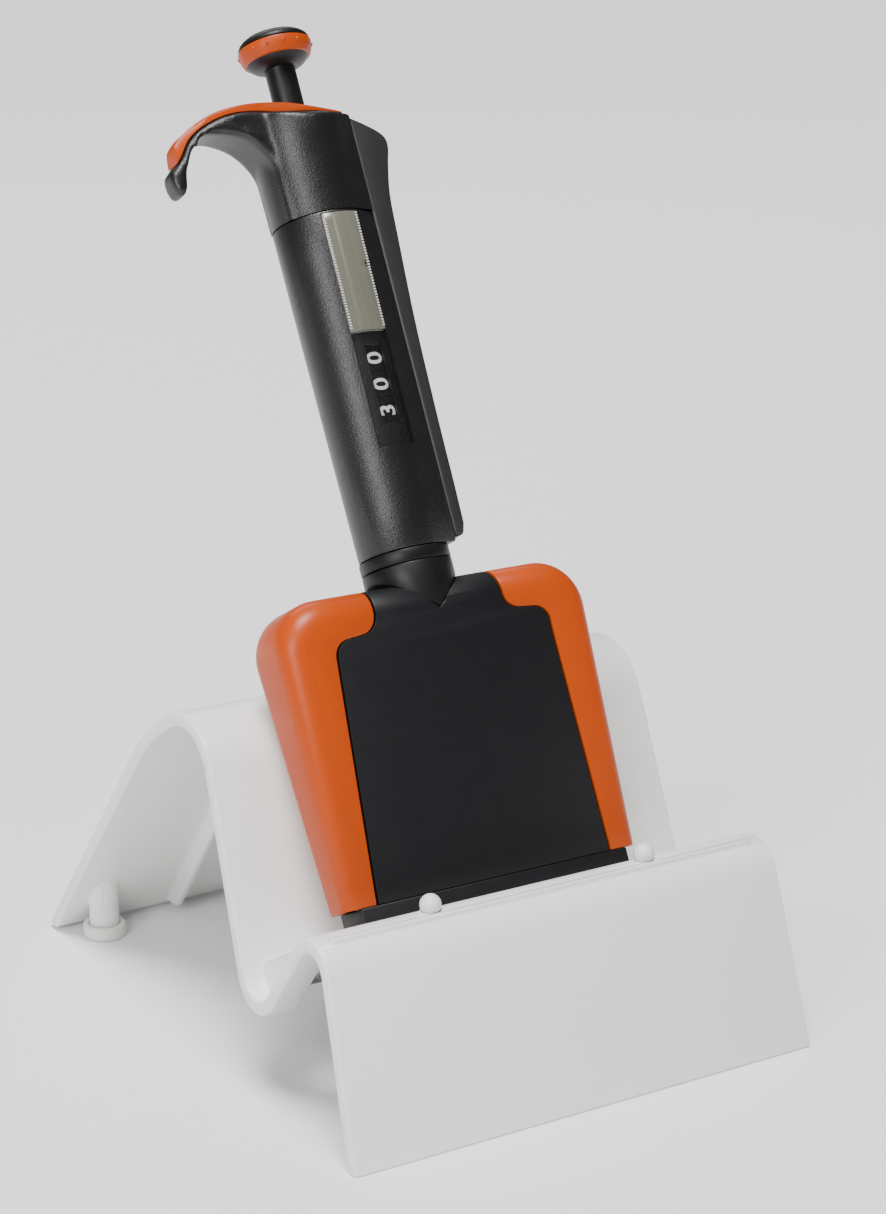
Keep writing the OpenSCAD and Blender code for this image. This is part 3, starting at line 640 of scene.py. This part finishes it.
# ---- Ejector lever ----
# A long smooth slide down the back of the handle that pushes the tips off; it swells into a
# thumb rest at the top and ends in a chamfer just above the neck collar.
lever_black = moulded("lever_black", (0.016, 0.016, 0.0175), 0.44, grain=0.5, depth=0.012,
                      mottle=0.06, shine=0.7)
lever_half = 7.75
foot_low, foot_high = 112.3, 115.3
lever_line = smooth_line([(15.7, 90.0), (15.9, 100), (16.1, 120), (16.7, 144), (18.1, 168), (18.9, 179),
                          (20.6, 187), (21.9, 191.6), (21.8, 194.4), (20.0, 196.6), (16.4, 198.9),
                          (12.0, 201.2)], 5)
lever = slab("eject_lever", [(12.0, 87.0), (14.8, 87.0)] + lever_line, -lever_half, lever_half)
soften(lever, 0.9, 3, 50)
unite(lever, block("lever_foot", (0, -3, foot_low), (13, 3, foot_high)),
      rod("foot_ring", 7, foot_low, foot_high))
cut(lever, rod("foot_bore", 3, 100, 120))
lever.data.transform(pipette)
settle(lever, "ejector_lever", lever_black, "lever_grey", "ejector_lever", smooth=40)


# ---- Counter, window and label ----
# Three printed wheels show the volume through a smoked window; above it a clear label cover
# with serrated edges holds a plain card. The serration ridges are coloured near-white, a painted highlight.
wheel_black = moulded("wheel_black", (0.004, 0.004, 0.0045), 0.45, grain=0.5, depth=0.01, shine=0.3)
digit_white = moulded("digit_white", (0.86, 0.86, 0.84), 0.55, grain=0.3, depth=0.004)
label_clear = moulded("label_clear", (0.15, 0.145, 0.115), 0.22, grain=2.0, depth=0.004,
                      mottle=0.05, coat=0.5)
card_white = moulded("card_white", (0.62, 0.62, 0.58), 0.7, grain=0.4, depth=0.01)
# Near-white colour on the serration ridges: a painted highlight for the glints along the clear cover's edges.
serration_painted_highlight = moulded("serration_painted_highlight", (0.62, 0.62, 0.60), 0.25, grain=0.6, depth=0.004)
wheel_radius = 9.1
wheel_levels = {"lower": (121.7, 3), "middle": (128.7, 0), "upper": (135.7, 0)}
digit_height = 4.7
digit_turn = 0.13  # radians, brings the shown digit to the opening

for place, (level, shown) in wheel_levels.items():
    paint(wheel_black, "digit_wheel_" + place)
    prints = []
    for step in range(10):
        deselect()
        bpy.ops.object.text_add()
        figure = bpy.context.view_layer.objects.active
        figure.data.body = str((shown + step) % 10)
        figure.data.align_x = "CENTER"
        figure.data.align_y = "CENTER"
        figure.data.size = digit_height * 1.38
        figure.data.offset = 0.13
        figure.data.extrude = 0.03
        bpy.ops.object.convert(target="MESH")
        bpy.ops.object.mode_set(mode="EDIT")
        bpy.ops.mesh.select_all(action="SELECT")
        bpy.ops.mesh.subdivide(number_cuts=1)
        bpy.ops.object.mode_set(mode="OBJECT")
        for vertex in figure.data.vertices:
            across, along, lift = vertex.co
            angle = step * math.pi / 5 - along / wheel_radius + digit_turn
            radius = wheel_radius + 0.035 + lift
            vertex.co = (radius * math.sin(angle), -radius * math.cos(angle), level + across)
        prints.append(figure)
    deselect()
    for figure in prints:
        figure.select_set(True)
    bpy.context.view_layer.objects.active = prints[0]
    bpy.ops.object.join()
    prints[0].name = "digits_" + place
    prints[0].data.transform(pipette)
    settle(prints[0], "wheel_" + place, digit_white, "label_card")

window_glass = bpy.data.materials.new("window_smoked")
window_glass.use_nodes = True
glass_tree = window_glass.node_tree
glass = glass_tree.nodes["Principled BSDF"]
glass.inputs["Roughness"].default_value = 0.06
glass.inputs["IOR"].default_value = 1.45
glass.inputs["Alpha"].default_value = 0.12
glass_place = add_node(glass_tree, "ShaderNodeTexCoord").outputs["Object"]
haze = add_node(glass_tree, "ShaderNodeTexNoise", Scale=220.0, Detail=5.0)
join(glass_tree, glass_place, haze.inputs["Vector"])
haze_tint = add_node(glass_tree, "ShaderNodeMix", data_type="RGBA")
haze_tint.inputs[6].default_value = (0.02, 0.02, 0.02, 1)
haze_tint.inputs[7].default_value = (0.05, 0.05, 0.045, 1)
join(glass_tree, haze.outputs[0], haze_tint.inputs[0])
join(glass_tree, haze_tint.outputs[2], glass.inputs["Base Color"])
paint(window_glass, "counter_window")
softened("label_plate", "label_cover", 0.12, "handle", label_clear, "label_grey", 1)
paint(card_white, "label_card")

# Ridges along both edges of the label cover: real serration, coloured near-white as a painted highlight.
ridge_start, ridge_pitch, ridge_count, ridge_x = 143.4, 0.74, 42, 4.75
ridges = None
for side in (-1, 1):
    for k in range(ridge_count):
        v = ridge_start + ridge_pitch * k
        x = side * ridge_x
        y = -math.sqrt(grip_radius(v) ** 2 - x * x)
        ridge = block("ridge", (x - 0.3, y - 0.08, v), (x + 0.3, y + 0.5, v + 0.36))
        if ridges is None:
            ridges = ridge
        else:
            deselect()
            ridge.select_set(True)
            ridges.select_set(True)
            bpy.context.view_layer.objects.active = ridges
            bpy.ops.object.join()
ridges.name = "label_serration"
ridges.data.transform(pipette)
settle(ridges, "handle", serration_painted_highlight, "label_grey")


# ---- Plunger and volume ring ----
# A black rod carries the press button: a shallow dish below, an orange ring with small grip
# bumps that sets the volume, and a low domed cap on top.
button_black = moulded("button_black", black, 0.42, grain=0.35, depth=0.02, mottle=0.08, shine=0.35)
bump_count, bump_radius, bump_ring, bump_level = 14, 0.62, 9.45, 222.8


def turned(name, profile, sides=96):
    """A turned part from (radius, level) points, bottom to top."""
    return loft(name, [[(math.cos(a * 2 * math.pi / sides) * r,
                         math.sin(a * 2 * math.pi / sides) * r, v)
                        for a in range(sides)] for r, v in profile])


rod_piece = turned("button_rod", [(3.9, 182), (4.05, 182.2), (4.05, 218.4)])
rod_piece.data.transform(pipette)
settle(rod_piece, "volume_knob", button_black, "body_black", "plunger_rod")
dish = turned("button_dish_skirt", [(4.06, 217.9), (5.4, 218.1), (6.9, 218.8), (7.9, 219.7),
                                    (8.3, 220.3), (7.0, 220.4), (6.2, 220.5), (6.2, 224.4)])
dish.data.transform(pipette)
settle(dish, "volume_knob", button_black, "body_black", "button_dish")
ring = turned("grip_ring", [(6.3, 220.3), (8.5, 220.25), (8.9, 220.4), (9.4, 221.4), (9.75, 222.6),
                            (9.8, 223.8), (9.65, 224.3), (9.4, 224.42), (6.3, 224.42)])
for k in range(bump_count):
    angle = 2 * math.pi * k / bump_count
    bump_place = (bump_ring * math.cos(angle), bump_ring * math.sin(angle), bump_level)
    deselect()
    bpy.ops.mesh.primitive_uv_sphere_add(segments=16, ring_count=10, radius=bump_radius,
                                         location=bump_place)
    unite(ring, bpy.context.view_layer.objects.active)
blend_edges = ring.modifiers.new("relax", "SMOOTH")
blend_edges.factor = 0.3
blend_edges.iterations = 1
apply(ring, blend_edges)
ring.data.transform(pipette)
settle(ring, "volume_knob", pad_orange, "cover_orange", "volume_ring", smooth=40)
cap = turned("press_cap", [(6.2, 224.5), (9.2, 224.5), (9.5, 224.65), (9.5, 225.0), (9.1, 225.7),
                           (8.3, 226.4), (7.1, 227.1), (5.4, 227.6), (3.2, 227.75), (1.2, 227.8)])
cap.data.transform(pipette)
settle(cap, "volume_knob", button_black, "body_black", "button_cap")


# ---- Works inside ----
# Ground steel pistons and rods, drawn-wire springs, grey acetal carriers and rubber seals: they
# show only when the pipette is lifted out and pressed.
def ground_steel(name, colour, rough):
    steel = moulded(name, colour, rough, grain=0.15, depth=0.003, mottle=0.04, rough_spread=0.06)
    steel.node_tree.nodes["Principled BSDF"].inputs["Metallic"].default_value = 1.0
    return steel


bright_steel = ground_steel("bright_steel", (0.62, 0.63, 0.65), 0.26)
wire_steel = ground_steel("wire_steel", (0.50, 0.51, 0.53), 0.36)
carrier_grey = moulded("carrier_grey", (0.20, 0.20, 0.19), 0.45, grain=0.4, depth=0.01)
seal_rubber = moulded("seal_rubber", (0.03, 0.03, 0.03), 0.7, grain=0.25, depth=0.02)
paint(bright_steel, "cover_screws", "swivel_clip", "push_rod", "operating_rod", "stop_washer", "ejector_rods",
      *["piston_%d" % i for i in range(1, 9)])
paint(wire_steel, "return_springs", "ejector_spring", "primary_spring", "drag_spring")
paint(carrier_grey, "piston_bar", "ejector_sleeve", "counter_frame")
paint(seal_rubber, "piston_seals")
